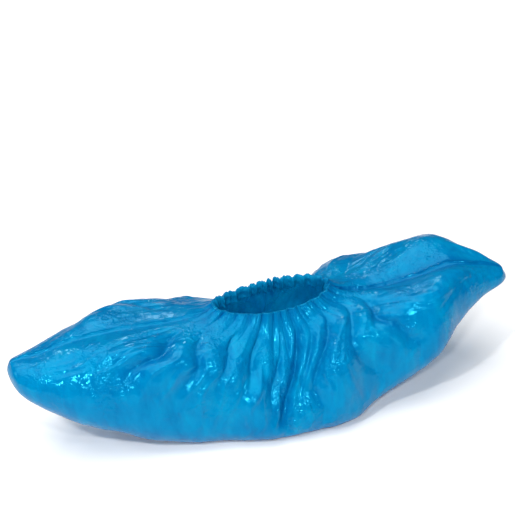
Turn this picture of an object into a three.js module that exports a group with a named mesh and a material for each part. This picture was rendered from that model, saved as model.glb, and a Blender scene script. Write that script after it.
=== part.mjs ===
// A disposable overshoe of blue plastic film, opened by hand and stood on its sole.
// One sheet of film is folded along the sole and welded shut at both ends, so the bag ends in two raised tips.
// Its top edge is gathered on an elastic band, which lies in a folded hem around the opening for the foot.
// Millimetres. X runs from the left tip to the right tip, Y away from the viewer, Z up. The sole rests on
// Z = 0, and the origin is the middle of the cover's outline on that plane.
import * as THREE from "three";
import { mergeVertices } from "three/addons/utils/BufferGeometryUtils.js";

// Film bag
const coverLength = 365; // tip to tip
const coverHeight = 80; // the floor to the top of the film beside the opening
const nearHalfWidth = 63; // the sole's fold to the widest line on the -Y side
const farHalfWidth = 60; // the same on the +Y side
const filmWall = 1.25;
const endWeld = 9; // length of each tip that is welded solid
const floorPress = 7; // how far the slack sole would hang below the floor that it is pressed flat on
const seamValley = 5; // depth of the dip along the end seams on top of both ends
const seamValleyWidth = 13;

// Opening
const mouthLength = 86;
const mouthNear = 19; // the line through the tips to the rim, on the -Y side
const mouthFar = 13;
const mouthShift = 8; // the opening lies this much nearer to the right tip
const rimDrop = 3; // the film's gathered edge lies this much below coverHeight at the ends of the opening
const rimDip = 4; // how far that edge sags in the middle of the -Y side
const collarHeight = 4; // upright strip of film below its edge

// Elastic and hem
const seamGap = 0.4; // clearance between the film's edge, the elastic and the hem
const elasticWidth = 4.5;
const elasticThickness = 1;
const hemWall = 1.2;
const hemOverlap = 2; // how far the hem reaches down over the film's edge
const hemBevel = 1; // rounding along the top of the hem

// Gathers at the elastic
const gatherCount = 20;
const gatherDepth = 1; // how far the film and the hem swing in and out over each gather
const gatherReach = 0.3; // share of a ray from the rim to the sole's fold over which the gathers run out
const hemScallop = 1.8; // how much higher the hem stands over each gather
const hemPuff = 1.1; // how far the hem's outer side swells over each gather

// Mesh resolution
const samplesPerGather = 6;
const raySteps = [0, 0.03, 0.07, 0.12, 0.18, 0.25, 0.33, 0.42, 0.5, 0.56, 0.62, 0.69, 0.8, 0.9, 1];

// Cross-sections. at: place along the cover, -1 at the left tip and 1 at the right tip.
// keel, top and widest: heights of the sole's fold, the ridge and the widest line, as shares of coverHeight.
// near and far: half widths, as shares of nearHalfWidth and farHalfWidth.
// crown: fullness of the upper half, 1 for straight slopes to the ridge, 2 for round, 3 for square shoulders.
const sections = [
  { at: -1.0, keel: 0.77, top: 0.845, widest: 0.81, near: 0.0, far: 0.0, crown: 2.0 },
  { at: -0.95, keel: 0.59, top: 0.875, widest: 0.74, near: 0.29, far: 0.21, crown: 2.0 },
  { at: -0.88, keel: 0.44, top: 0.9, widest: 0.69, near: 0.46, far: 0.38, crown: 2.0 },
  { at: -0.75, keel: 0.25, top: 0.98, widest: 0.6, near: 0.65, far: 0.65, crown: 2.2 },
  { at: -0.5, keel: 0.05, top: 1.13, widest: 0.4, near: 0.8, far: 0.95, crown: 2.4 },
  { at: -0.25, keel: 0.0, top: 1.15, widest: 0.26, near: 0.9, far: 0.98, crown: 2.0 },
  { at: 0.0, keel: 0.0, top: 1.14, widest: 0.17, near: 1.04, far: 0.84, crown: 1.3 },
  { at: 0.25, keel: 0.0, top: 1.23, widest: 0.2, near: 1.0, far: 1.02, crown: 2.0 },
  { at: 0.38, keel: 0.05, top: 1.19, widest: 0.3, near: 0.87, far: 1.08, crown: 2.2 },
  { at: 0.5, keel: 0.14, top: 1.12, widest: 0.44, near: 0.83, far: 1.05, crown: 2.3 },
  { at: 0.63, keel: 0.29, top: 1.1, widest: 0.58, near: 0.77, far: 1.07, crown: 2.4 },
  { at: 0.75, keel: 0.5, top: 1.07, widest: 0.75, near: 0.53, far: 1.05, crown: 2.5 },
  { at: 0.88, keel: 0.67, top: 0.98, widest: 0.81, near: 0.26, far: 0.54, crown: 2.1 },
  { at: 0.95, keel: 0.73, top: 0.9, widest: 0.81, near: 0.15, far: 0.26, crown: 2.0 },
  { at: 1.0, keel: 0.77, top: 0.845, widest: 0.81, near: 0.0, far: 0.0, crown: 2.0 },
];

// Folds that run from the rim towards the sole. side: -1 for the -Y side, 1 for the +Y side.
// rim and at: place along the cover's side, 0 at the left tip and 1 at the right tip, at the rim and further
// down; width: in the same shares. depth: in millimetres, positive for a ridge. from and to: its start and
// end, 0 at the rim and 1 at the sole.
const folds = [
  { side: -1, rim: 0.03, at: 0.07, width: 0.03, depth: -3, from: 0.05, to: 0.5 },
  { side: -1, rim: 0.06, at: 0.19, width: 0.035, depth: -5, from: 0.1, to: 0.64 },
  { side: -1, rim: 0.1, at: 0.235, width: 0.03, depth: 3, from: 0, to: 0.55 },
  { side: -1, rim: 0.13, at: 0.285, width: 0.024, depth: -3.5, from: 0, to: 0.56 },
  { side: -1, rim: 0.18, at: 0.315, width: 0.024, depth: 3, from: 0, to: 0.52 },
  { side: -1, rim: 0.25, at: 0.345, width: 0.024, depth: -4, from: 0, to: 0.54 },
  { side: -1, rim: 0.32, at: 0.375, width: 0.022, depth: 3, from: 0, to: 0.5 },
  { side: -1, rim: 0.38, at: 0.405, width: 0.021, depth: -3, from: 0, to: 0.46 },
  { side: -1, rim: 0.44, at: 0.432, width: 0.022, depth: 3.5, from: 0, to: 0.52 },
  { side: -1, rim: 0.5, at: 0.458, width: 0.02, depth: -2.5, from: 0, to: 0.4 },
  { side: -1, rim: 0.6, at: 0.49, width: 0.022, depth: -5.5, from: 0, to: 0.63 },
  { side: -1, rim: 0.67, at: 0.523, width: 0.022, depth: 3.5, from: 0, to: 0.56 },
  { side: -1, rim: 0.75, at: 0.56, width: 0.025, depth: -4, from: 0, to: 0.6 },
  { side: -1, rim: 0.81, at: 0.61, width: 0.025, depth: 3, from: 0, to: 0.52 },
  { side: -1, rim: 0.86, at: 0.68, width: 0.024, depth: -3.5, from: 0.1, to: 0.62 },
  { side: -1, rim: 0.9, at: 0.725, width: 0.025, depth: 3, from: 0, to: 0.56 },
  { side: -1, rim: 0.94, at: 0.77, width: 0.024, depth: -4, from: 0.05, to: 0.66 },
  { side: -1, rim: 0.97, at: 0.84, width: 0.03, depth: 2.5, from: 0, to: 0.5 },
  { side: 1, rim: 0.05, at: 0.15, width: 0.035, depth: -2.5, from: 0.1, to: 0.55 },
  { side: 1, rim: 0.16, at: 0.25, width: 0.03, depth: -3, from: 0.1, to: 0.6 },
  { side: 1, rim: 0.3, at: 0.35, width: 0.024, depth: -3.5, from: 0, to: 0.6 },
  { side: 1, rim: 0.4, at: 0.43, width: 0.025, depth: 3, from: 0, to: 0.55 },
  { side: 1, rim: 0.5, at: 0.5, width: 0.025, depth: -3.5, from: 0, to: 0.6 },
  { side: 1, rim: 0.62, at: 0.58, width: 0.025, depth: 3, from: 0, to: 0.55 },
  { side: 1, rim: 0.72, at: 0.66, width: 0.024, depth: -3.5, from: 0, to: 0.6 },
  { side: 1, rim: 0.85, at: 0.78, width: 0.03, depth: -2.5, from: 0.1, to: 0.55 },
];

// Rays run down the film from the rim to the sole's fold, fanning out from the opening to the whole length.
const fanEnd = 0.62; // share of a ray where it stops fanning out and turns down to the sole
const rimBlend = 0.35; // share of a ray over which the bag takes over from the shape of the rim
const foldFade = 0.2; // share of a ray over which a long fold grows to its full depth
const foldLean = 0.3; // share of a ray over which a fold comes over from its place at the rim
const rimEvenness = 0.44; // how much the samples are drawn towards the ends of the opening
const sideTurn = 0.4; // where fanEnd lies round a middle section, 0 at the sole's fold and 1 at the ridge
const rimTurn = 0.82; // where the rim lies round the middle section
const soleFullness = 2.6; // squareness of the lower half of each section

const clamp01 = (value) => Math.min(1, Math.max(0, value));
const smooth = (value) => clamp01(value) ** 2 * (3 - 2 * clamp01(value));

// Monotone cubic interpolation of one column of the section table.
function columnAt(column, at) {
  const last = sections.length - 1;
  let i = 0;
  while (i < last - 1 && at > sections[i + 1].at) i += 1;
  const step = (k, name) => sections[k + 1][name] - sections[k][name];
  const slope = (k) => step(k, column) / step(k, "at");
  const tangent = (k) => {
    if (k === 0) return slope(0);
    if (k === last) return slope(last - 1);
    const before = slope(k - 1);
    const after = slope(k);
    return before * after <= 0 ? 0 : (2 * before * after) / (before + after);
  };
  const span = step(i, "at");
  const t = (at - sections[i].at) / span;
  const h00 = 2 * t ** 3 - 3 * t ** 2 + 1;
  const h10 = t ** 3 - 2 * t ** 2 + t;
  const h01 = -2 * t ** 3 + 3 * t ** 2;
  const h11 = t ** 3 - t ** 2;
  return (
    h00 * sections[i][column] + h10 * span * tangent(i) +
    h01 * sections[i + 1][column] + h11 * span * tangent(i + 1)
  );
}

// A point of the smooth bag: x along the cover, turn from 0 at the sole's fold to 1 at the ridge, on one
// side. inset moves the whole surface inwards, for the inner face of the film.
function bagPoint(x, turn, side, inset) {
  const at = Math.min(1, Math.max(-1, x / (coverLength / 2)));
  const halfWidth = side < 0 ? nearHalfWidth * columnAt("near", at) : farHalfWidth * columnAt("far", at);
  const press = floorPress * smooth(1 - columnAt("keel", at) * 8);
  const keel = columnAt("keel", at) * coverHeight - press + inset;
  const top = columnAt("top", at) * coverHeight - inset;
  const widest = columnAt("widest", at) * coverHeight;
  const width = halfWidth > 0 ? halfWidth ** 2 / (halfWidth + inset) : 0;
  const angle = Math.PI * turn;
  const sine = Math.max(0, Math.sin(angle));
  const cosine = Math.abs(Math.cos(angle));
  const fullness = turn < 0.5 ? soleFullness : columnAt("crown", at);
  const y = turn <= 0 || turn >= 1 ? 0 : width * sine ** (2 / fullness);
  const rise = cosine ** (2 / fullness);
  let z = turn < 0.5 ? widest - (widest - keel) * rise : widest + (top - widest) * rise;
  if (turn > 0.5) z -= seamValley * smooth((1 - Math.abs(at)) * 5) * Math.exp(-((y / seamValleyWidth) ** 2));
  const weld = inset > 0 ? endWeld * at ** 4 * Math.sign(at) : 0;
  return new THREE.Vector3(x - weld, side * y, Math.max(inset, z));
}

// The outward direction of the smooth bag there.
function bagNormal(x, turn, side) {
  const higher = Math.min(1, turn + 0.01);
  const lower = Math.max(0, turn - 0.01);
  const along = bagPoint(x + 1, turn, side, 0).sub(bagPoint(x - 1, turn, side, 0));
  const up = bagPoint(x, higher, side, 0).sub(bagPoint(x, lower, side, 0));
  const normal = side < 0 ? along.cross(up) : up.cross(along);
  return normal.lengthSq() > 0 ? normal.normalize() : new THREE.Vector3(0, 0, turn > 0.5 ? 1 : -1);
}

// The gathered edge of the film. share runs from 0 at the opening's left end to 1 at its right end, on one
// side.
function rimPoint(share, side) {
  const angle = Math.PI * share + (rimEvenness / 2) * Math.sin(2 * Math.PI * share);
  const bow = Math.max(0, Math.sin(angle));
  const y = side < 0 ? -mouthNear * bow : mouthFar * bow ** 0.7;
  const z = coverHeight - rimDrop - (side < 0 ? rimDip * bow ** 2 : 0);
  return new THREE.Vector3(mouthShift - (mouthLength / 2) * Math.cos(angle), y, z);
}

// The horizontal direction away from the opening at a point of the rim.
function rimOutward(share, side) {
  if (share <= 0 || share >= 1) return new THREE.Vector3(share <= 0 ? -1 : 1, 0, 0);
  const step = 0.01;
  const along = rimPoint(share + step, side).sub(rimPoint(share - step, side));
  return new THREE.Vector3(along.y * side, -along.x * side, 0).negate().normalize();
}

// 1 on the crest of a gather and -1 between two gathers.
const gatherWave = (gather) => Math.cos(2 * Math.PI * gather);

// How far the film stands out from the smooth bag in the long folds.
function foldHeight(share, way, side) {
  const fade = smooth(Math.min(share, 1 - share) * 20);
  const height = (fold) => {
    const middle = fold.at + (fold.rim - fold.at) * (1 - smooth(way / foldLean));
    const across = Math.exp(-(((share - middle) / fold.width) ** 2));
    const start = smooth((way - fold.from) / foldFade);
    const end = 1 - smooth((way - fold.to + 0.3) / 0.3);
    return fold.depth * across * start * end * fade;
  };
  return folds.filter((fold) => fold.side === side).reduce((sum, fold) => sum + height(fold), 0);
}

// A point beside the film's edge: out is measured away from the opening and up from the edge.
function besideRim({ share, side, gather }, out, up) {
  const distance = out + gatherDepth * gatherWave(gather);
  const point = rimPoint(share, side).addScaledVector(rimOutward(share, side), distance);
  point.z += up;
  return point;
}

// One point of the film, way from 0 below the collar to 1 on the sole's fold.
function filmPoint(sample, way, inset) {
  const { share, side, gather } = sample;
  const rim = rimPoint(share, side);
  const fan = Math.sin((Math.PI / 2) * clamp01(way / fanEnd));
  const outerX = (share * 2 - 1) * (coverLength / 2);
  const x = rim.x + (outerX - rim.x) * fan;
  const middle = Math.sin(Math.PI * share);
  const rimStart = 1 - (1 - rimTurn) * middle;
  const turnAtFan = 1 - (1 - sideTurn) * middle ** 0.6;
  const turn = way < fanEnd
    ? rimStart + (turnAtFan - rimStart) * (way / fanEnd)
    : turnAtFan * (1 - (way - fanEnd) / (1 - fanEnd));
  const point = bagPoint(x, turn, side, inset);
  const smoothRim = bagPoint(rim.x, rimStart, side, inset);
  const collar = besideRim({ share, side, gather: 0.25 }, -inset, -collarHeight);
  point.addScaledVector(collar.sub(smoothRim), 1 - smooth(way / rimBlend));
  const direction = rimOutward(share, side).lerp(bagNormal(x, turn, side), smooth(way / gatherReach));
  const swing = gatherDepth * gatherWave(gather) * (1 - smooth(way / gatherReach));
  point.addScaledVector(direction, swing + foldHeight(share, way, side));
  point.z = Math.max(inset, point.z);
  return point;
}

// Builds a closed mesh from rings of points that run round the opening. Each ring is joined to the next one,
// and the last to the first; the pair of rings that starts at seam is left apart. Each four-sided patch is
// split along its shorter diagonal, but not along the line where the two sides meet. Points that fall
// together become one.
function meshOf(name, rings, seam, material) {
  const count = rings[0].length;
  const points = rings.flat();
  const onFold = (index) => Math.abs(points[index].y) < 1e-6;
  const splitLength = (m, n) => (onFold(m) && onFold(n) ? Infinity : points[m].distanceTo(points[n]));
  const triangles = [];
  rings.forEach((ring, r) => {
    if (r === seam) return;
    const next = ((r + 1) % rings.length) * count;
    for (let i = 0; i < count; i += 1) {
      const j = (i + 1) % count;
      const [a, b, c, d] = [r * count + i, next + i, next + j, r * count + j];
      const across = splitLength(b, d) < splitLength(a, c);
      triangles.push(...(across ? [[a, b, d], [b, c, d]] : [[a, b, c], [a, c, d]]));
    }
  });
  const loose = new THREE.BufferGeometry();
  const numbers = points.flatMap((point) => point.toArray());
  loose.setAttribute("position", new THREE.Float32BufferAttribute(numbers, 3));
  loose.setIndex(triangles.flat());
  const geometry = mergeVertices(loose, 1e-3);
  const index = Array.from(geometry.index.array);
  const kept = index.filter((_, i) => {
    const [a, b, c] = index.slice(i - (i % 3), i - (i % 3) + 3);
    return a !== b && b !== c && c !== a;
  });
  geometry.setIndex(kept);
  geometry.computeVertexNormals();
  const mesh = new THREE.Mesh(geometry, new THREE.MeshStandardMaterial({ metalness: 0, ...material }));
  mesh.name = name;
  return mesh;
}

// The samples round the opening: the -Y side from left to right, then the +Y side back.
const perSide = (gatherCount * samplesPerGather) / 2;
const around = Array.from({ length: perSide * 2 }, (_, i) => ({
  side: i < perSide ? -1 : 1,
  share: i < perSide ? i / perSide : (perSide * 2 - i) / perSide,
  gather: i / samplesPerGather,
}));

// A ring beside the film's edge, the same all round.
const rimRing = (out, up) => around.map((sample) => besideRim(sample, out, up));

// The outer or inner face of the film, from its edge down to the sole's fold.
const filmRings = (inset) => [
  rimRing(-inset, 0),
  ...raySteps.map((way) => around.map((sample) => filmPoint(sample, way, inset))),
];

// The hem's section: up its inner side, over the roof and down its outer side, then back through the channel.
const channel = seamGap + elasticWidth + seamGap;
const roof = channel + hemWall;
const outside = seamGap + hemWall;
const inside = -filmWall - seamGap - hemWall;
const crest = (sample) => (1 + gatherWave(sample.gather)) / 2;
const roofRing = (out, up) => around.map((sample) => besideRim(sample, out, up + hemScallop * crest(sample)));
const swollen = (sample) => outside + hemPuff * crest(sample);
const puffRing = around.map((sample) => besideRim(sample, swollen(sample), channel / 2));
const hemRings = [
  rimRing(inside, -hemOverlap),
  roofRing(inside, roof - hemBevel),
  roofRing(inside + hemBevel, roof),
  roofRing(outside - hemBevel, roof),
  roofRing(outside, roof - hemBevel),
  puffRing,
  rimRing(outside, -hemOverlap),
  rimRing(seamGap, -hemOverlap),
  rimRing(seamGap, channel),
  rimRing(-filmWall - seamGap, channel),
  rimRing(-filmWall - seamGap, -hemOverlap),
];

// The elastic stands on edge in the channel, above the film's edge.
const elasticOut = (elasticThickness - filmWall) / 2;
const elasticIn = elasticOut - elasticThickness;
const elasticRings = [
  rimRing(elasticIn, seamGap),
  rimRing(elasticIn, seamGap + elasticWidth),
  rimRing(elasticOut, seamGap + elasticWidth),
  rimRing(elasticOut, seamGap),
];

const outerFace = filmRings(0);
const innerFace = filmRings(filmWall);
const filmMaterial = { color: 0x0490cc, roughness: 0.3 };
const group = new THREE.Group();
group.name = "shoe_cover";
const soleSeam = outerFace.length - 1;
group.add(meshOf("film_bag", [...outerFace, ...innerFace.reverse()], soleSeam, filmMaterial));
group.add(meshOf("gathered_hem", hemRings, -1, { color: 0x0384c0, roughness: 0.35 }));
group.add(meshOf("elastic_band", elasticRings, -1, { color: 0xe6ebee, roughness: 0.8 }));
const middle = new THREE.Box3().setFromObject(group).getCenter(new THREE.Vector3());
group.children.forEach((mesh) => mesh.geometry.translate(-middle.x, -middle.y, 0));

export default group;
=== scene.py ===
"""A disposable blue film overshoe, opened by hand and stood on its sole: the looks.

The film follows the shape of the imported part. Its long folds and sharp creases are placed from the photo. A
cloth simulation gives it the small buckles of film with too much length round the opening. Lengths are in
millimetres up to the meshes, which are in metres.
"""

import math

import bmesh
import bpy
import numpy as np
from mathutils import Matrix, Vector


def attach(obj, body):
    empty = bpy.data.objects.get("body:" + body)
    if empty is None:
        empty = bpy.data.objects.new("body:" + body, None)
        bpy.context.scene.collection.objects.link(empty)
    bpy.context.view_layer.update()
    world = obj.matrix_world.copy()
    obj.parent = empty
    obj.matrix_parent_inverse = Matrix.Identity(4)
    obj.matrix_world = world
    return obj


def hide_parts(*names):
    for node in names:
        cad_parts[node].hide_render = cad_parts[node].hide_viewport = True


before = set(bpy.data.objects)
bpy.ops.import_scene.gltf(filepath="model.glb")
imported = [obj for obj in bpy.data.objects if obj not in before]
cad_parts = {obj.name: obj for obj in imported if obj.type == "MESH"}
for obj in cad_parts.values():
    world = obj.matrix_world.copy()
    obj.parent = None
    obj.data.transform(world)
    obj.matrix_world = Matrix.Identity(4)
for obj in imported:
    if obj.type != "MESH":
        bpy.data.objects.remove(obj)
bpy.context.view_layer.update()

MM = 0.001  # one millimetre in metres
FLAT = (0.30, 0.41)  # the cut sheet in metres: twice 15 cm by 41 cm
HALF_SHEET = FLAT[0] * 500  # its width on each side of the sole's fold, in mm

# The bag in millimetres
LENGTH = 365.0  # from tip to tip
HEIGHT = 80.0  # which the heights in SECTIONS are shares of
NEAR = 63.0  # half width on the side towards the photo's camera
FAR = 60.0  # half width on the other side
FULLNESS = 2.6  # of the lower half of each cross-section: 2 is round and 3 squarer
FLOOR_PRESS = 7.0  # the sole reaches this far under the floor and is cut off there, so it lies flat
VALLEY = 3.5  # depth of the dip along the weld on both decks
VALLEY_WIDTH = 9.0
SHIFT_Y = -0.2  # the film is moved by this, as the solids are centred on their box

# The opening in millimetres
MOUTH = 86.0  # its length
MOUTH_NEAR = 19.0  # how far its edge bows out on the near side
MOUTH_FAR = 13.0  # how far it bows out on the far side
FAR_BOW = 0.7  # power that makes the far side's bow fuller than an ellipse
MOUTH_SHIFT = 8.0  # its middle is this far to the right of the bag's
RIM_HEIGHT = 77.0
RIM_DIP = 4.0  # how far the near edge sags in its middle
CREST = 6.0  # how far above the edge the hem's crest is
COLLAR = 4.0  # how far below the edge the rays of film start
FAR_LEAN = 2.0  # how far the far side of the hem leans back
FAR_RISE = 3.0  # about how far its middle rises, with less on the left and more on the right

# The rays of film. way: 0 at their start and 1 at the sole's fold. turn: place round a cross-section, from 0
# at the sole's fold to 1 at the ridge.
FAN_END = 0.62  # way at which a ray has reached its place along the cover
RIM_BLEND = 0.35  # way at which the collar has become the bag
RIM_TURN = 0.82  # turn at which the middle ray starts
SIDE_TURN = 0.4  # turn of the middle ray at FAN_END
EVENNESS = 0.44  # evens out the places of the rays along the opening, 0 for equal angles

# Cross-sections. at: place along the cover, from -1 at the left tip to 1 at the right. keel, top and widest:
# heights of the sole's fold, the ridge and the widest line, as shares of HEIGHT. near and far: half widths,
# as shares of NEAR and FAR. crown: fullness of the upper half, 1 for straight slopes, 2 round and 3 squarer.
SECTION_COLUMNS = ("at", "keel", "top", "widest", "near", "far", "crown")
SECTIONS = np.array([
    (-1.00, 0.77, 0.845, 0.81, 0.00, 0.00, 2.0),
    (-0.95, 0.59, 0.875, 0.74, 0.29, 0.21, 2.0),
    (-0.88, 0.44, 0.90, 0.69, 0.46, 0.38, 2.0),
    (-0.75, 0.25, 0.98, 0.60, 0.65, 0.65, 2.2),
    (-0.50, 0.05, 1.14, 0.40, 0.80, 0.95, 2.5),
    (-0.25, 0.00, 1.17, 0.26, 0.90, 0.98, 2.2),
    (0.00, 0.00, 1.14, 0.17, 1.04, 0.84, 1.3),
    (0.25, 0.00, 1.23, 0.20, 1.00, 1.02, 2.0),
    (0.38, 0.06, 1.19, 0.30, 0.84, 1.08, 2.2),
    (0.50, 0.14, 1.12, 0.44, 0.82, 1.05, 2.3),
    (0.63, 0.29, 1.10, 0.58, 0.77, 1.07, 2.4),
    (0.75, 0.50, 1.07, 0.75, 0.53, 1.05, 2.5),
    (0.88, 0.67, 0.98, 0.81, 0.26, 0.54, 2.1),
    (0.95, 0.73, 0.90, 0.81, 0.15, 0.26, 2.0),
    (1.00, 0.77, 0.845, 0.81, 0.00, 0.00, 2.0),
])

# Long folds. side: -1 near, 1 far. Place at the rim, place further down and width: shares of the side, from 0
# at the left tip to 1 at the right. depth: in mm, positive for a ridge. Then the ways of its start and end.
FOLDS = (
    (-1, 0.03, 0.08, 0.024, -2.5, 0.00, 0.36),
    (-1, 0.05, 0.190, 0.034, -6.0, 0.05, 0.72),
    (-1, 0.10, 0.235, 0.030, 2.0, 0.00, 0.55),
    (-1, 0.13, 0.285, 0.024, -4.5, 0.00, 0.62),
    (-1, 0.19, 0.315, 0.024, 1.5, 0.00, 0.52),
    (-1, 0.26, 0.345, 0.020, -4.0, 0.00, 0.54),
    (-1, 0.32, 0.370, 0.016, 1.5, 0.00, 0.50),
    (-1, 0.37, 0.395, 0.015, -3.0, 0.00, 0.46),
    (-1, 0.43, 0.430, 0.020, 2.5, 0.00, 0.52),
    (-1, 0.50, 0.455, 0.015, -3.0, 0.00, 0.46),
    (-1, 0.60, 0.492, 0.022, -6.5, 0.00, 0.69),
    (-1, 0.64, 0.515, 0.014, 2.0, 0.00, 0.50),
    (-1, 0.67, 0.535, 0.015, -3.0, 0.00, 0.42),
    (-1, 0.71, 0.550, 0.016, 2.0, 0.00, 0.50),
    (-1, 0.765, 0.570, 0.026, -5.0, 0.00, 0.62),
    (-1, 0.82, 0.625, 0.022, 3.0, 0.00, 0.56),
    (-1, 0.86, 0.690, 0.024, -4.5, 0.00, 0.66),
    (-1, 0.90, 0.725, 0.022, 2.5, 0.00, 0.56),
    (-1, 0.94, 0.775, 0.024, -5.0, 0.00, 0.72),
    (-1, 0.97, 0.865, 0.045, 3.0, 0.00, 0.50),
    (-1, 0.99, 0.940, 0.014, -2.0, 0.00, 0.24),
    (-1, 0.96, 0.895, 0.090, -2.0, 0.40, 0.95),
    (1, 0.05, 0.15, 0.030, -3.0, 0.05, 0.55),
    (1, 0.16, 0.25, 0.028, -2.0, 0.00, 0.60),
    (1, 0.30, 0.35, 0.024, -2.5, 0.00, 0.60),
    (1, 0.40, 0.43, 0.022, 2.5, 0.00, 0.55),
    (1, 0.50, 0.50, 0.022, -4.0, 0.00, 0.60),
    (1, 0.62, 0.58, 0.022, 2.5, 0.00, 0.55),
    (1, 0.72, 0.66, 0.024, -4.0, 0.00, 0.60),
    (1, 0.78, 0.740, 0.070, 4.0, 0.00, 0.70),
    (1, 0.87, 0.800, 0.026, -2.0, 0.05, 0.55),
    (1, 0.96, 0.945, 0.050, 3.5, 0.10, 0.75),
)

# Sharp creases along the crests of the folds, in the same columns. They carry the thin bright lines.
CREASES = (
    (-1, 0.04, 0.150, 0.006, 0.9, 0.20, 0.80),
    (-1, 0.11, 0.225, 0.005, 1.1, 0.15, 0.75),
    (-1, 0.15, 0.262, 0.005, 0.9, 0.25, 0.80),
    (-1, 0.17, 0.300, 0.005, 1.2, 0.15, 0.75),
    (-1, 0.23, 0.328, 0.004, 1.0, 0.25, 0.75),
    (-1, 0.29, 0.357, 0.005, 1.2, 0.15, 0.75),
    (-1, 0.35, 0.382, 0.004, 1.0, 0.20, 0.70),
    (-1, 0.41, 0.418, 0.005, 1.2, 0.15, 0.80),
    (-1, 0.46, 0.442, 0.004, 1.0, 0.25, 0.75),
    (-1, 0.55, 0.472, 0.005, 1.1, 0.15, 0.75),
    (-1, 0.63, 0.512, 0.004, 1.0, 0.10, 0.65),
    (-1, 0.69, 0.543, 0.005, 1.1, 0.10, 0.75),
    (-1, 0.79, 0.600, 0.005, 1.1, 0.10, 0.75),
    (-1, 0.84, 0.650, 0.005, 1.0, 0.10, 0.75),
    (-1, 0.92, 0.750, 0.005, 1.0, 0.10, 0.70),
    (1, 0.22, 0.300, 0.005, 1.0, 0.10, 0.70),
    (1, 0.38, 0.410, 0.005, 1.0, 0.10, 0.70),
    (1, 0.58, 0.550, 0.005, 1.0, 0.10, 0.70),
    (1, 0.80, 0.760, 0.005, 0.9, 0.10, 0.65),
)

FOLD_FADE = 0.2  # way over which a fold begins
FOLD_LEAN = 0.3  # way over which it runs from its place at the rim to its place further down
FOLD_WAVER = 0.005  # how far it strays from its line, as a share of the side

# Gathers at the hem: how many go round the opening, how deep in mm, and how far down they reach in mm
GATHERS = ((96, 0.2, 7.0), (52, 0.6, 18.0), (26, 1.7, 34.0))

# The tips: rounded over a length, fuller at their end and cut back above, in mm
TIP_ROUND = 8.0
TIP_FULL = 3.2
TIP_CUT = 2.4
TIP_HEIGHT = 0.77  # height of the tips' lower end as a share of HEIGHT
TIP_TALL = 0.075  # and from there to their upper end

# The end welds in mm
WELD_GAP = 0.12  # each side of the film is this far from the weld line
FLANGE = 1.6  # how much taller the flange is along the decks
FLANGE_LEAST = 0.12  # its height below them. It dies out at the hem.

# The film's mesh
SIDE_COLUMNS = 360  # steps from one weld to the other on each side
COLLAR_ROWS = 14  # rows from the crest of the hem down to the start of the rays
RAY_ROWS = 112  # rows down each ray
RAY_SPACING = 1.2  # power that draws the rows together towards the opening
EASING_ROUNDS = 400  # rounds that ease the collar and the rays into each other

# The cloth simulation
SKIP_COLUMNS = 3  # it has every third column of the film
SKIP_ROWS = 2  # and every second row
FRAMES = 40
SIM_SCALE = 0.01  # one unit of the simulation is 10 cm
GATHERED = 1.5  # length of the film's gathered edge beside that of the opening
RIM_BOW = 1.12  # about how long one side of the opening's edge is beside MOUTH
REST_GAP = 20  # each half of the rest shape lies at least this far from the middle, in mm
SOFT_HOLD = 0.1  # how firmly the film is held away from its edges
FLOOR_TOUCH = 0.6  # film nearer to the floor than this, in mm, is held firmly
MOST_SHIFT = 7.0  # no point moves further than this, in mm

# The hem and the elastic
HEM_ROWS = 18
HEM_DEPTH = 8.0  # about how far down inside the opening the folded edge reaches, in mm
BAND_STEP = 4  # the band has every fourth column of the hem
BAND_CORNERS = ((-1.05, -6.4), (-1.05, -1.8), (-0.55, -1.8), (-0.55, -6.4))  # outward and up from the crest

# Whole numbers that scatter the lattice points of the noise
LATTICE_STEPS = (73856093, 19349663)
SEED_STEP = 2654435761
SCATTER = 1274126177


def smooth(v):
    v = np.clip(v, 0, 1)
    return v * v * (3 - 2 * v)


def unit(v):
    return v / np.maximum(np.linalg.norm(v, axis=-1, keepdims=True), 1e-9)


def column(name, at):
    """Monotone cubic interpolation of one column of the section table."""
    a, c = SECTIONS[:, 0], SECTIONS[:, SECTION_COLUMNS.index(name)]
    slope = np.diff(c) / np.diff(a)
    before, after = slope[:-1], slope[1:]
    same = before * after > 0
    tangent = np.zeros(len(a))
    tangent[0], tangent[-1] = slope[0], slope[-1]
    total = np.where(same, before + after, 1)
    tangent[1:-1] = np.where(same, 2 * before * after / total, 0)
    i = np.clip(np.searchsorted(a, at) - 1, 0, len(a) - 2)
    h = a[i + 1] - a[i]
    u = (at - a[i]) / h
    return (
        (2 * u**3 - 3 * u**2 + 1) * c[i]
        + (u**3 - 2 * u**2 + u) * h * tangent[i]
        + (3 * u**2 - 2 * u**3) * c[i + 1]
        + (u**3 - u**2) * h * tangent[i + 1]
    )


def bag(x, turn, side):
    """A point of the smooth bag, turn from 0 at the sole's fold to 1 at the ridge."""
    at = np.clip(x / (LENGTH / 2), -1, 1)
    width = np.where(side < 0, NEAR * column("near", at), FAR * column("far", at))
    keel = column("keel", at)
    keel_z = keel * HEIGHT - FLOOR_PRESS * smooth(1 - keel * 8)
    top, widest = column("top", at) * HEIGHT, column("widest", at) * HEIGHT
    full = np.where(turn < 0.5, FULLNESS, column("crown", at))
    sine = np.clip(np.sin(np.pi * turn), 0, 1)
    rise = np.abs(np.cos(np.pi * turn)) ** (2 / full)
    y = np.where((turn <= 0) | (turn >= 1), 0, width * sine ** (2 / full))
    z = np.where(turn < 0.5, widest - (widest - keel_z) * rise, widest + (top - widest) * rise)
    # The dip along the weld is deeper on the right deck, and dies out at the tips
    dip = VALLEY * (0.65 + 0.35 * np.tanh(4 * at)) * smooth((1 - np.abs(at)) * 5)
    dip = dip * np.exp(-((y / VALLEY_WIDTH) ** 2))
    z = z - np.where(turn > 0.5, dip, 0)
    return np.stack([x, side * y, np.maximum(0, z)], -1)


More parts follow.
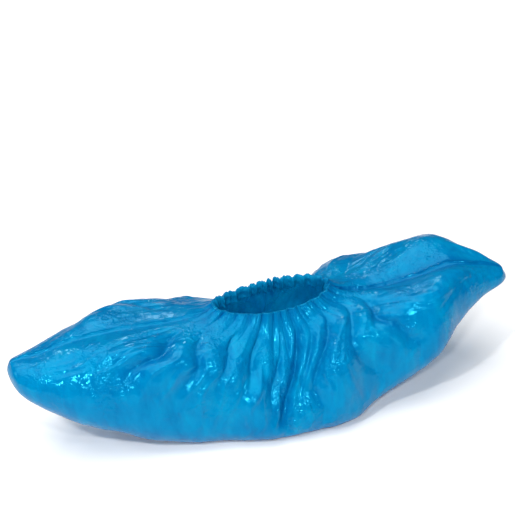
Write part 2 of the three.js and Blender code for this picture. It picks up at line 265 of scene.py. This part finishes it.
def bag_normal(x, turn, side):
    along = bag(x + 1, turn, side) - bag(x - 1, turn, side)
    up = bag(x, np.minimum(1, turn + 0.01), side) - bag(x, np.maximum(0, turn - 0.01), side)
    return unit(np.cross(along, up) * -side[..., None])


def rim(share, side):
    """The film's gathered edge, from share 0 at its left end to 1 at its right end."""
    a = np.pi * share + EVENNESS / 2 * np.sin(2 * np.pi * share)
    bow = np.clip(np.sin(a), 0, 1)
    y = np.where(side < 0, -MOUTH_NEAR * bow, MOUTH_FAR * bow**FAR_BOW)
    z = RIM_HEIGHT - np.where(side < 0, RIM_DIP * bow**2, 0)
    return np.stack([MOUTH_SHIFT - MOUTH / 2 * np.cos(a), y, z], -1)


def rim_outward(share, side):
    """Level direction out of the opening: square to its edge, and along the cover at its two ends."""
    s = np.clip(share, 0.01, 0.99)
    d = rim(s + 0.01, side) - rim(s - 0.01, side)
    n = unit(np.stack([-d[..., 1] * side, d[..., 0] * side, 0 * d[..., 0]], -1))
    end = np.stack([np.where(share < 0.5, -1.0, 1.0), 0 * share, 0 * share], -1)
    blend = smooth(np.minimum(share, 1 - share) / 0.02)[..., None]
    return unit(end * (1 - blend) + n * blend)


def base(share, way, side):
    """The smooth film: place along one side and way down the ray. Returns the point and its normal."""
    r = rim(share, side)
    fan = np.sin(np.pi / 2 * np.clip(way / FAN_END, 0, 1))
    x = r[..., 0] + ((share * 2 - 1) * LENGTH / 2 - r[..., 0]) * fan
    middle = np.clip(np.sin(np.pi * share), 0, 1)
    rim_start = 1 - (1 - RIM_TURN) * middle
    at_fan = 1 - (1 - SIDE_TURN) * middle**0.6
    down = at_fan * (1 - (way - FAN_END) / (1 - FAN_END))
    turn = np.where(way < FAN_END, rim_start + (at_fan - rim_start) * way / FAN_END, down)
    point = bag(x, turn, side)
    collar = r - np.array([0, 0, COLLAR])
    blend = (1 - smooth(way / RIM_BLEND))[..., None]
    return point + (collar - bag(r[..., 0], rim_start, side)) * blend, bag_normal(x, turn, side)


def fold_height(folds, share, way, side):
    """Height of the folds in a table: sharp valleys and rounded ridges that waver on their way down."""
    height = np.zeros_like(share)
    fade = smooth(np.minimum(share, 1 - share) * 20)
    for number, (fold_side, at_rim, at, width, depth, begin, end) in enumerate(folds):
        middle = at + (at_rim - at) * (1 - smooth(way / FOLD_LEAN))
        middle = middle + FOLD_WAVER * np.sin(way * 23 + number * 2.1) * smooth(way * 5)
        away = ((share - middle) / width) ** 2
        across = np.exp(-away) if depth > 0 else np.exp(0.3 - 1.7 * np.sqrt(away + 0.03))
        run = smooth((way - begin + 0.05) / FOLD_FADE) * (1 - smooth((way - end + 0.42) / 0.52))
        height += np.where(side == fold_side, depth * across * run * fade, 0)
    return height


# Uneven widths, depths and reaches for the gathers
rng = np.random.default_rng(7)
gather_sets = []
for gather_count, gather_depth, gather_reach in GATHERS:
    widths = rng.uniform(0.55, 1.45, gather_count)
    gather_sets.append((
        np.concatenate([[0], np.cumsum(widths) / widths.sum()]),
        rng.uniform(0.45, 1.0, gather_count) * gather_depth,
        rng.uniform(0.6, 1.3, gather_count) * gather_reach,
    ))


def gathers(loop, down):
    """Height of the gathers: rounded crests between sharp creases, dying out down the film."""
    height = np.zeros_like(loop)
    for edges, depths, reaches in gather_sets:
        i = np.clip(np.searchsorted(edges, loop, side="right") - 1, 0, len(depths) - 1)
        t = np.clip((loop - edges[i]) / (edges[i + 1] - edges[i]), 0, 1)
        fade = np.exp(-((np.maximum(down, 0) / reaches[i]) ** 1.6))
        height += depths[i] * (1.7 * np.sin(np.pi * t) ** 0.7 - 1) * fade
    return height


def noise(place, seed):
    """Smooth noise, about -1 to 1, at points of a plane given in lattice units."""
    cell = np.floor(place).astype(np.int64)
    part = place - cell
    ease = part * part * part * (part * (part * 6 - 15) + 10)
    total = 0
    for corner in np.ndindex(2, 2):
        h = ((cell + np.array(corner)) * np.array(LATTICE_STEPS)).sum(-1) + seed * SEED_STEP
        h = (h ^ (h >> 13)) * SCATTER & 0xFFFFFFFF
        angle = (h ^ (h >> 16)) % 65536 / 65536 * 2 * np.pi
        away = part - np.array(corner)
        dot = np.cos(angle) * away[..., 0] + np.sin(angle) * away[..., 1]
        weight = np.prod(np.where(corner, ease, 1 - ease), -1)
        total = total + weight * dot
    return total * 1.5


def crumple(flat_place):
    """Height of the soft dents and sharp creases all over the film, from its place in the flat sheet."""
    bend = np.stack([noise(flat_place / 45, 1), noise(flat_place / 45, 2)], -1) * 9
    place = flat_place + bend
    dents = noise(place / np.array([34, 55]), 3) * 1.2
    valleys = (np.sqrt(noise(place / np.array([26, 44]), 4) ** 2 + 0.0015) - 0.25) * 2.4
    ridges = -(np.sqrt(noise(place / np.array([12, 20]), 5) ** 2 + 0.002) - 0.25) * 0.9
    return dents + valleys * smooth(noise(flat_place / 60, 6) + 0.6) + ridges


def mesh_object(name, points, faces, smooth_shading=True):
    mesh = bpy.data.meshes.new(name)
    mesh.from_pydata([tuple(p) for p in points], [], [tuple(int(i) for i in f) for f in faces])
    mesh.polygons.foreach_set("use_smooth", [smooth_shading] * len(mesh.polygons))
    mesh.update()
    obj = bpy.data.objects.new(name, mesh)
    bpy.context.scene.collection.objects.link(obj)
    return obj


def grid_faces(columns, rows, closed_rows=False):
    """Faces of a grid that is closed round its columns."""
    i, j = np.meshgrid(np.arange(columns), np.arange(rows if closed_rows else rows - 1), indexing="ij")
    n, m = (i + 1) % columns, (j + 1) % rows
    return np.stack([i * rows + j, i * rows + m, n * rows + m, n * rows + j], -1).reshape(-1, 4)


# The film's columns go round the opening, with a flange of its own at both ends of each side
half = SIDE_COLUMNS + 3
ROWS = COLLAR_ROWS + RAY_ROWS
one_side = np.concatenate([[0], np.linspace(0, 1, SIDE_COLUMNS + 1), [1]])
share_of = np.concatenate([one_side, one_side[::-1]])
side_of = np.repeat([-1.0, 1.0], half)
loop_of = np.where(side_of < 0, share_of / 2, 1 - share_of / 2)
way_of = np.concatenate([np.zeros(COLLAR_ROWS), np.linspace(0, 1, RAY_ROWS) ** RAY_SPACING])
climb_of = np.concatenate([np.linspace(1, 0, COLLAR_ROWS + 1)[:-1], np.zeros(RAY_ROWS)])
share, way = np.meshgrid(share_of, way_of, indexing="ij")
side = np.repeat(side_of[:, None], ROWS, 1)
loop = np.repeat(loop_of[:, None], ROWS, 1)
climb = np.repeat(climb_of[None, :], 2 * half, 0)
flanges = (0, half - 1, half, 2 * half - 1)
weld_lines = (1, half - 2, half + 1, 2 * half - 2)

# The smooth film, with its collar raised to the hem's crest
form, normal = base(share, way, side)
outward = rim_outward(share, side)
form = form + outward * (1.0 * np.sin(climb * np.pi) - 0.6 * climb)[..., None]
form[..., 2] += climb * (CREST + COLLAR)
far_bow = climb * (side > 0) * np.sin(np.pi * share).clip(0, 1) ** FAR_BOW
far_rise = FAR_RISE * (0.2 + 1.8 * share) * far_bow
form = form + np.stack([0 * far_bow, FAR_LEAN * far_bow, far_rise], -1)
softness = np.where(climb_of > 0, smooth(2.5 * (1 - climb_of)), 1 - smooth(way_of / 0.3))
for _ in range(EASING_ROUNDS):
    eased = (form[:, :-2] + 2 * form[:, 1:-1] + form[:, 2:]) / 4
    form[:, 1:-1] += (eased - form[:, 1:-1]) * softness[None, 1:-1, None]

# The two tips
from_tip = np.maximum(0, LENGTH / 2 - np.abs(form[..., 0]))
tip_height = np.clip((form[..., 2] - TIP_HEIGHT * HEIGHT) / (TIP_TALL * HEIGHT), 0, 1)
fuller = TIP_FULL * from_tip / TIP_ROUND * np.exp(1 - from_tip / TIP_ROUND)
cut_back = TIP_CUT * tip_height**2 * smooth(1 - from_tip / TIP_ROUND)
form[..., 0] += np.sign(form[..., 0]) * (fuller - cut_back)

# Which way the folds stand out, how far down the film each point is, and its place in the flat sheet
turn_down = smooth((way - 0.02) / 0.2)[..., None]
direction = unit(outward * (1 - turn_down) + normal * turn_down)
down = np.concatenate([
    np.zeros((2 * half, 1)),
    np.cumsum(np.linalg.norm(np.diff(form, axis=1), axis=-1), 1),
], 1)
flat_place = np.stack([share * FLAT[1] * 1000, side * (HALF_SHEET - down)], -1)


def add_welds(points):
    """Parts the two sides by a hair along the end welds and stands their flanges up."""
    steps = np.arange(points.shape[1])
    for flange, line in zip(flanges, weld_lines):
        points[line] += np.array([0, side_of[line] * WELD_GAP, 0])
        lean = 0.55 + 0.35 * np.sin(steps * 0.37 + share_of[line]) + 0.2 * np.sin(steps * 1.1)
        on_deck = smooth((FAN_END - 0.1 - way_of) / 0.15)
        tall = (FLANGE * on_deck + FLANGE_LEAST) * smooth(1 - climb_of)
        up = np.array([0.4 * (2 * share_of[line] - 1), 0, 1.0])
        points[flange] = points[line] + tall[:, None] * up + (lean * tall)[:, None] * np.array([0, 1.0, 0])


def film_faces(columns, rows):
    """Faces of both sides' grids. Point (column, row) has index column * rows + row."""
    faces = []
    for first in (0, columns):
        i, j = np.meshgrid(np.arange(first, first + columns - 1), np.arange(rows - 1), indexing="ij")
        i, j = i.ravel() * rows, j.ravel()
        faces.append(np.stack([i + j, i + j + 1, i + rows + j + 1, i + rows + j], -1))
    return np.concatenate(faces)


def spread(values, old, new):
    """Smooth interpolation of rows of values from the old places to the new ones."""
    slope = np.gradient(values, old, axis=0)
    i = np.clip(np.searchsorted(old, new, side="right") - 1, 0, len(old) - 2)
    gap = (old[i + 1] - old[i]).reshape(-1, *[1] * (values.ndim - 1))
    u = (new - old[i]).reshape(gap.shape) / gap
    return (
        (2 * u**3 - 3 * u**2 + 1) * values[i]
        + (u**3 - 2 * u**2 + u) * gap * slope[i]
        + (3 * u**2 - 2 * u**3) * values[i + 1]
        + (u**3 - u**2) * gap * slope[i + 1]
    )


def buckles(start):
    """Lets the film buckle in a cloth simulation and returns how far each point moves, in mm.

    The film is held firmly at the hem, the welds, the sole's fold and the floor, and softly elsewhere.
    At rest each side is a fan whose short edge is longer than the opening, as the flat film is.
    """
    one_side = np.arange(1, half - 1, SKIP_COLUMNS)
    columns = np.concatenate([one_side, one_side + half])
    rows = np.arange(COLLAR_ROWS, ROWS, SKIP_ROWS)
    rows[-1] = ROWS - 1
    part = start[np.ix_(columns, rows)]
    side_count = len(columns) // 2
    reach = HALF_SHEET - (COLLAR + CREST)
    short, long = MOUTH * RIM_BOW * GATHERED, FLAT[1] * 1000
    angle = (long - short) / reach
    radius = short / angle + way_of[rows][None, :] * reach
    swing = (share_of[columns][:, None] - 0.5) * angle
    apart = side_of[columns][:, None] * (short / angle + reach + REST_GAP - radius * np.cos(swing))
    rest = np.stack([radius * np.sin(swing), apart, 0 * apart], -1)
    obj = mesh_object("film_trial", part.reshape(-1, 3) * SIM_SCALE, film_faces(side_count, len(rows)))
    obj.shape_key_add(name="Basis")
    key = obj.shape_key_add(name="rest")
    key.data.foreach_set("co", (rest.reshape(-1, 3) * SIM_SCALE).astype(np.float32).ravel())
    key.value = 0
    hold = obj.vertex_groups.new(name="hold")
    part_way = np.repeat(way_of[rows][None, :], len(columns), 0)
    part_share = np.repeat(share_of[columns][:, None], len(rows), 1)
    on_floor = (part[..., 2] < FLOOR_TOUCH) & (part_way > 0.7)
    firm = (part_way < 0.01) | (part_way > 0.985) | on_floor
    firm |= (part_share < 0.001) | (part_share > 0.999)
    weight = np.where(firm, 1.0, SOFT_HOLD)
    for level in np.unique(weight):
        hold.add(np.flatnonzero(weight.ravel() == level).tolist(), float(level), "REPLACE")
    cloth = obj.modifiers.new("cloth", "CLOTH")
    settings = cloth.settings
    settings.quality = 5
    settings.mass = 0.05
    settings.air_damping = 2.0
    settings.tension_stiffness = settings.compression_stiffness = 40
    settings.shear_stiffness = 15
    settings.bending_stiffness = 0.02
    settings.tension_damping = settings.compression_damping = settings.shear_damping = 5
    settings.bending_damping = 0.5
    settings.vertex_group_mass = "hold"
    settings.pin_stiffness = 1.0
    settings.rest_shape_key = key
    settings.effector_weights.gravity = 0
    cloth.collision_settings.use_collision = False
    cloth.collision_settings.use_self_collision = False
    cloth.point_cache.frame_start = 1
    cloth.point_cache.frame_end = FRAMES
    scene = bpy.context.scene
    for f in range(1, FRAMES + 1):
        scene.frame_set(f)
    evaluated = obj.evaluated_get(bpy.context.evaluated_depsgraph_get())
    moved = np.zeros(len(evaluated.data.vertices) * 3, np.float32)
    evaluated.data.vertices.foreach_get("co", moved)
    scene.frame_set(1)
    mesh = obj.data
    bpy.data.objects.remove(obj)
    bpy.data.meshes.remove(mesh)
    shift = moved.reshape(part.shape).astype(float) / SIM_SCALE - part
    size = np.linalg.norm(shift, axis=-1, keepdims=True)
    shift *= np.tanh(size / MOST_SHIFT) * MOST_SHIFT / np.maximum(size, 1e-6)
    full = np.zeros_like(start)
    for first, count in ((0, 0), (half, side_count)):
        coarse = shift[count : count + side_count]
        # Two rounds of smoothing take out the zigzag between neighbouring points
        for _ in range(2):
            coarse[1:-1] = (coarse[:-2] + 2 * coarse[1:-1] + coarse[2:]) / 4
            coarse[:, 1:-1] = (coarse[:, :-2] + 2 * coarse[:, 1:-1] + coarse[:, 2:]) / 4
        inner = np.arange(1, half - 1)
        ray_rows = np.arange(COLLAR_ROWS, ROWS)
        wide = spread(coarse, columns[:side_count].astype(float), inner.astype(float))
        tall = spread(wide.transpose(1, 0, 2), rows.astype(float), ray_rows.astype(float))
        full[first + 1 : first + half - 1, COLLAR_ROWS:] = tall.transpose(1, 0, 2)
    return full


# The folds, then the buckles, and last the gathers, dents and creases. calm weakens the buckles, dents and
# creases towards the welds and the sole.
calm = 0.4 + 0.6 * smooth(np.minimum(share, 1 - share) * 6)
calm *= 1 - 0.5 * smooth((way - 0.5) / 0.2)
folded = fold_height(FOLDS, share, way, side)
point = form + direction * folded[..., None]
point[..., 2] = np.maximum(point[..., 2], 0)
point += buckles(point) * calm[..., None]
ease_ends = smooth(np.minimum(share, 1 - share) * 25) * smooth((1 - way) * 8) * smooth(way * 8)
gathered = gathers(loop, down)
creased = fold_height(CREASES, share, way, side)
fine_height = gathered + (crumple(flat_place) + creased) * ease_ends * calm
point += direction * fine_height[..., None]
point[..., 2] += climb * 0.5 * gathered
point[..., 2] = np.maximum(point[..., 2], 0)
point[..., 1] += SHIFT_Y

# The two sides meet along the sole's fold
for column_number in range(2, half - 2):
    other = 2 * half - 1 - column_number
    point[column_number, -1] = point[other, -1] = (point[column_number, -1] + point[other, -1]) / 2
add_welds(point)

# Where the film is painted darker: double film at the hem and the welds, and painted shade in the valleys
near_rim = np.exp(-((down / 13) ** 2))
# Darker near the rim, where the hem lies inside, with painted shade in the gathers' valleys, and painted
# shade in the folds' valleys
double_film_and_shade = near_rim * (0.35 + 0.4 * np.clip(-gathered, 0, 1.5)) + 0.5 * np.clip(-folded / 5, 0, 1) ** 1.4
# Darker along the welds, where the film lies double, with painted shade of their crease growing towards the
# right
double_film_and_shade += (0.2 + 0.4 * share) * np.exp(-((np.minimum(share, 1 - share) / 0.007) ** 2))
double_film_and_shade = np.clip(double_film_and_shade, 0, 1)

film = mesh_object("film_sheet", point.reshape(-1, 3) * MM, film_faces(half, ROWS))
double_film_and_shade_data = film.data.attributes.new("double_film_and_shade", "FLOAT", "POINT")
double_film_and_shade_data.data.foreach_set("value", double_film_and_shade.astype(np.float32).ravel())
corner_vertex = np.zeros(len(film.data.loops), np.int32)
film.data.loops.foreach_get("vertex_index", corner_vertex)
uv = film.data.uv_layers.new(name="flat")
uv.data.foreach_set("uv", (flat_place.reshape(-1, 2)[corner_vertex] * MM).astype(np.float32).ravel())


def join_close_points(obj, distance):
    """Joins points that lie in the same place, which the two sides have along the sole's fold."""
    work = bmesh.new()
    work.from_mesh(obj.data)
    bmesh.ops.remove_doubles(work, verts=work.verts, dist=distance)
    work.to_mesh(obj.data)
    work.free()
    obj.data.update()


join_close_points(film, 1e-6)

# The hem: the film's edge folded over the elastic and down inside it, in the film's own gathers
hem_columns = np.concatenate([np.arange(1, half - 2), np.arange(half + 1, 2 * half - 2)])
hem_loop, hem_share, hem_side = loop_of[hem_columns], share_of[hem_columns], side_of[hem_columns]
crest = point[hem_columns, 0]
out = rim_outward(hem_share, hem_side)
t = np.linspace(0, 1, HEM_ROWS)
lip = np.clip(t * 5, 0, 1)
hem_out = 0.7 * np.cos(lip * np.pi * 0.9) - 0.8 - 1.2 * smooth(t * 2.5)
hem_up = 0.9 * np.sin(lip * np.pi) - HEM_DEPTH * np.maximum(0, t - 0.1)
hem_points = crest[:, None] + out[:, None] * hem_out[None, :, None]
hem_points[..., 2] += hem_up[None]
wave = gathers(hem_loop, 0 * hem_loop)
hem_points += out[:, None] * (0.35 * wave[:, None] * np.sin(t * 9 + hem_loop[:, None] * 120) * t)[..., None]
hem = mesh_object("hem_film", hem_points.reshape(-1, 3) * MM, grid_faces(len(hem_columns), HEM_ROWS))

# The elastic inside the hem
band_crest, band_outward = crest[::BAND_STEP], out[::BAND_STEP]
corners = np.array(BAND_CORNERS)
band_points = band_crest[:, None] + band_outward[:, None] * corners[None, :, :1]
band_points[..., 2] += corners[None, :, 1]
band_faces = grid_faces(len(band_crest), len(corners), closed_rows=True)
band = mesh_object("elastic_ring", band_points.reshape(-1, 3) * MM, band_faces, smooth_shading=False)


# Materials
def srgb(r, g, b):
    def linear(v):
        v /= 255
        return v / 12.92 if v <= 0.04045 else ((v + 0.055) / 1.055) ** 2.4

    return (linear(r), linear(g), linear(b), 1)


class Tree:
    """A material's nodes, added one by one."""

    def __init__(self, name):
        self.material = bpy.data.materials.new(name)
        self.material.use_nodes = True
        self.nodes = self.material.node_tree.nodes
        self.links = self.material.node_tree.links
        self.nodes.clear()

    def add(self, kind, inputs=None, **settings):
        node = self.nodes.new(kind)
        for key, value in settings.items():
            setattr(node, key, value)
        for key, value in (inputs or {}).items():
            if isinstance(value, bpy.types.NodeSocket):
                self.links.new(value, node.inputs[key])
            else:
                node.inputs[key].default_value = value
        return node

    def ramp(self, factor, stops):
        node = self.add("ShaderNodeValToRGB", {0: factor})
        elements = node.color_ramp.elements
        while len(elements) < len(stops):
            elements.new(0.5)
        for element, (position, color) in zip(elements, stops):
            element.position = position
            element.color = color
        return node.outputs[0]


def film_material(name, dark, mid, light, doubled_and_shaded, crinkle, gloss):
    """Blue film in three tones, darker where it lies double and with painted shade in its valleys, with
    crackle, small folds and uneven gloss.
    """
    t = Tree(name)
    place = t.add("ShaderNodeTexCoord").outputs["Object"]
    cloud = t.add("ShaderNodeTexNoise", {"Vector": place, "Scale": 28.0, "Detail": 4.0, "Roughness": 0.55})
    streak_place = t.add("ShaderNodeMapping", {"Vector": place, "Scale": (150.0, 110.0, 55.0)})
    streak = t.add(
        "ShaderNodeTexNoise",
        {"Vector": streak_place.outputs[0], "Scale": 1.0, "Detail": 3.0, "Distortion": 0.6},
    )
    tone = t.add("ShaderNodeMath", {0: cloud.outputs["Fac"], 1: streak.outputs["Fac"]}, operation="ADD")
    tone = t.add("ShaderNodeMath", {0: tone.outputs[0], 1: 0.5}, operation="MULTIPLY")
    color = t.ramp(tone.outputs[0], ((0.3, dark), (0.5, mid), (0.7, light)))
    # The darkest blue is mixed in where the film lies double and as painted shade in its valleys
    double_and_shade_node = t.add("ShaderNodeAttribute", attribute_name="double_film_and_shade")
    color = t.add(
        "ShaderNodeMix",
        {"Factor": double_and_shade_node.outputs["Fac"], 6: color, 7: doubled_and_shaded},
        data_type="RGBA",
    ).outputs[2]
    wobble = t.add("ShaderNodeTexNoise", {"Vector": place, "Scale": 60.0, "Detail": 2.0})
    bent = t.add(
        "ShaderNodeMix",
        {"Factor": 0.012, 4: place, 5: wobble.outputs["Color"]},
        data_type="VECTOR",
    ).outputs[1]
    creases = t.add(
        "ShaderNodeTexVoronoi",
        {"Vector": bent, "Scale": 105.0, "Randomness": 1.0},
        feature="DISTANCE_TO_EDGE",
    )
    fold = t.add(
        "ShaderNodeMapRange",
        {
            "Value": creases.outputs["Distance"],
            "From Min": 0.0,
            "From Max": 0.22,
            "To Min": 1.0,
            "To Max": 0.0,
        },
        interpolation_type="SMOOTHSTEP",
    )
    patch = t.add("ShaderNodeTexNoise", {"Vector": place, "Scale": 38.0, "Detail": 1.0})
    patch = t.add(
        "ShaderNodeMapRange",
        {"Value": patch.outputs["Fac"], "From Min": 0.46, "From Max": 0.64, "To Min": 0.0, "To Max": 1.0},
    )
    fold = t.add("ShaderNodeMath", {0: fold.outputs[0], 1: patch.outputs[0]}, operation="MULTIPLY")
    ridges = t.add(
        "ShaderNodeTexNoise",
        {"Vector": place, "Scale": 75.0, "Detail": 2.0, "Roughness": 0.5, "Distortion": 0.8},
        noise_type="RIDGED_MULTIFRACTAL",
    )
    fine = t.add("ShaderNodeTexNoise", {"Vector": place, "Scale": 400.0, "Detail": 1.0, "Distortion": 0.8})
    crackle = t.add(
        "ShaderNodeMapRange",
        {"Value": patch.outputs[0], "From Min": 0.0, "From Max": 1.0, "To Min": 0.45, "To Max": 1.3},
    )
    crackle = t.add("ShaderNodeMath", {0: fine.outputs["Fac"], 1: crackle.outputs[0]}, operation="MULTIPLY")
    bump = t.add(
        "ShaderNodeBump",
        {"Height": ridges.outputs["Fac"], "Strength": crinkle, "Distance": 0.0007},
    )
    bump = t.add(
        "ShaderNodeBump",
        {"Height": fold.outputs[0], "Strength": crinkle, "Distance": 0.0004, "Normal": bump.outputs[0]},
    )
    bump = t.add(
        "ShaderNodeBump",
        {"Height": crackle.outputs[0], "Strength": crinkle, "Distance": 0.0009, "Normal": bump.outputs[0]},
    )
    rough = t.add(
        "ShaderNodeMapRange",
        {
            "Value": fine.outputs["Fac"],
            "From Min": 0.3,
            "From Max": 0.7,
            "To Min": gloss,
            "To Max": gloss * 2,
        },
    )
    surface = t.add(
        "ShaderNodeBsdfPrincipled",
        {
            "Base Color": color,
            "Roughness": rough.outputs[0],
            "IOR": 1.62,
            "Specular Tint": (0.05, 0.8, 1.0, 1.0),
            "Normal": bump.outputs[0],
        },
    )
    through = t.add("ShaderNodeBsdfTranslucent", {"Color": color, "Normal": bump.outputs[0]})
    mixed = t.add("ShaderNodeMixShader", {0: 0.3, 1: surface.outputs[0], 2: through.outputs[0]})
    t.add("ShaderNodeOutputMaterial", {"Surface": mixed.outputs[0]})
    return t.material


def rubber_material():
    t = Tree("elastic")
    place = t.add("ShaderNodeTexCoord").outputs["Object"]
    grain = t.add("ShaderNodeTexNoise", {"Vector": place, "Scale": 600.0, "Detail": 3.0})
    color = t.ramp(grain.outputs["Fac"], ((0.3, srgb(205, 214, 220)), (0.7, srgb(240, 244, 246))))
    bump = t.add("ShaderNodeBump", {"Height": grain.outputs["Fac"], "Strength": 0.4, "Distance": 0.0003})
    surface = t.add(
        "ShaderNodeBsdfPrincipled",
        {"Base Color": color, "Roughness": 0.75, "Normal": bump.outputs[0]},
    )
    t.add("ShaderNodeOutputMaterial", {"Surface": surface.outputs[0]})
    return t.material


# Lighter blues for the film than for the hem, and the darkest where the film lies double and for painted
# shade in its valleys
DOUBLED_AND_SHADED = srgb(0, 90, 158)
FILM_TONES = (srgb(0, 112, 172), srgb(0, 132, 188), srgb(1, 150, 200))
HEM_TONES = (srgb(0, 102, 160), srgb(0, 118, 172), srgb(0, 133, 184))
film_look = film_material("blue_film", *FILM_TONES, DOUBLED_AND_SHADED, crinkle=0.6, gloss=0.08)
hem_look = film_material("gathered_film", *HEM_TONES, DOUBLED_AND_SHADED, crinkle=0.6, gloss=0.3)
for obj, look in ((film, film_look), (hem, hem_look), (band, rubber_material())):
    obj.data.materials.append(look)
    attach(obj, "root")
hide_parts("film_bag")
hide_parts("gathered_hem")
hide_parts("elastic_band")

# The floor: a wide sheet of pale paper, a hair below the sole
FLOOR_HALF = 6  # from its middle to its edges, in metres
FLOOR_DROP = 0.0002
floor_corners = [(x * FLOOR_HALF, y * FLOOR_HALF, 0) for x, y in ((-1, -1), (1, -1), (1, 1), (-1, 1))]
floor = mesh_object("floor", floor_corners, [(0, 1, 2, 3)])
paper = Tree("paper")
paper_grain = paper.add("ShaderNodeTexNoise", {"Scale": 40.0, "Detail": 2.0})
paper_color = paper.ramp(paper_grain.outputs["Fac"], ((0, (0.9, 0.9, 0.9, 1)), (1, (0.93, 0.93, 0.93, 1))))
paper_surface = paper.add("ShaderNodeBsdfPrincipled", {"Base Color": paper_color, "Roughness": 0.9})
paper.add("ShaderNodeOutputMaterial", {"Surface": paper_surface.outputs[0]})
floor.data.materials.append(paper.material)
floor.location.z = -FLOOR_DROP

# The light: one wide lamp above, and small ones all round that give the film its glints. Watts and metres.
AIM = Vector((0, 0, 0.04))  # what the lamps point at, and what places the photo's view
ABOVE_SIZE, ABOVE_POWER = 3.4, 106
SPARK_SIZE = 0.1
SPARKS = (
    ("key", (-0.80, -0.80, 1.20), 8.3),
    ("front_left", (-0.45, -1.20, 0.85), 7.5),
    ("front", (0.10, -1.25, 1.10), 6.5),
    ("front_right", (0.70, -1.10, 1.00), 3.2),
    ("left", (-1.30, 0.10, 0.90), 2),
    ("back_left", (-0.60, 1.10, 1.00), 1.2),
    ("back", (0.20, 1.20, 0.95), 0.8),
)
WORLD_STRENGTH = 0.03


def square_lamp(name, place, size, power):
    data = bpy.data.lights.new(name, "AREA")
    data.shape = "SQUARE"
    data.size = size
    data.energy = power
    obj = bpy.data.objects.new(name, data)
    bpy.context.scene.collection.objects.link(obj)
    obj.location = place
    obj.rotation_mode = "QUATERNION"
    obj.rotation_quaternion = (AIM - Vector(place)).to_track_quat("-Z", "Y")


square_lamp("above", (-0.3, 0.3, 3.0), ABOVE_SIZE, ABOVE_POWER)
for name, place, power in SPARKS:
    square_lamp(name, place, SPARK_SIZE, power)
world = bpy.data.worlds.new("world")
bpy.context.scene.world = world
world.use_nodes = True
world.node_tree.nodes["Background"].inputs[0].default_value = (1, 1, 1, 1)
world.node_tree.nodes["Background"].inputs[1].default_value = WORLD_STRENGTH

# The photo's view: an image of 515 x 515 pixels, in which AIM lies at AIM_COLUMN and AIM_ROW
IMAGE = 515
AIM_COLUMN, AIM_ROW = 264.4, 347.8
PIXELS_PER_METRE = 1393.6  # at the distance of AIM
DISTANCE = 1.3
SENSOR = 36  # the width of the camera's sensor in mm
azimuth, elevation, roll = math.radians(-11), math.radians(33), math.radians(5)
focal = DISTANCE * PIXELS_PER_METRE  # in pixels
back = Vector((
    math.sin(azimuth) * math.cos(elevation),
    -math.cos(azimuth) * math.cos(elevation),
    math.sin(elevation),
))
level = Vector((math.cos(azimuth), math.sin(azimuth), 0))
upright = back.cross(level)
right = level * math.cos(roll) - upright * math.sin(roll)
up = level * math.sin(roll) + upright * math.cos(roll)
forward = (-back * focal - right * (AIM_COLUMN - IMAGE / 2) + up * (AIM_ROW - IMAGE / 2)).normalized()
right = forward.cross(up).normalized()
up = right.cross(forward)
camera = bpy.data.objects.new("camera", bpy.data.cameras.new("camera"))
bpy.context.scene.collection.objects.link(camera)
bpy.context.scene.camera = camera
camera.data.sensor_width = SENSOR
camera.data.lens = SENSOR * focal / IMAGE
camera.data.clip_start, camera.data.clip_end = 0.05, 30
turn_matrix = Matrix((right, up, -forward)).transposed()
camera.matrix_world = Matrix.Translation(AIM + back * DISTANCE) @ turn_matrix.to_4x4()
bpy.context.scene.view_settings.view_transform = "Standard"
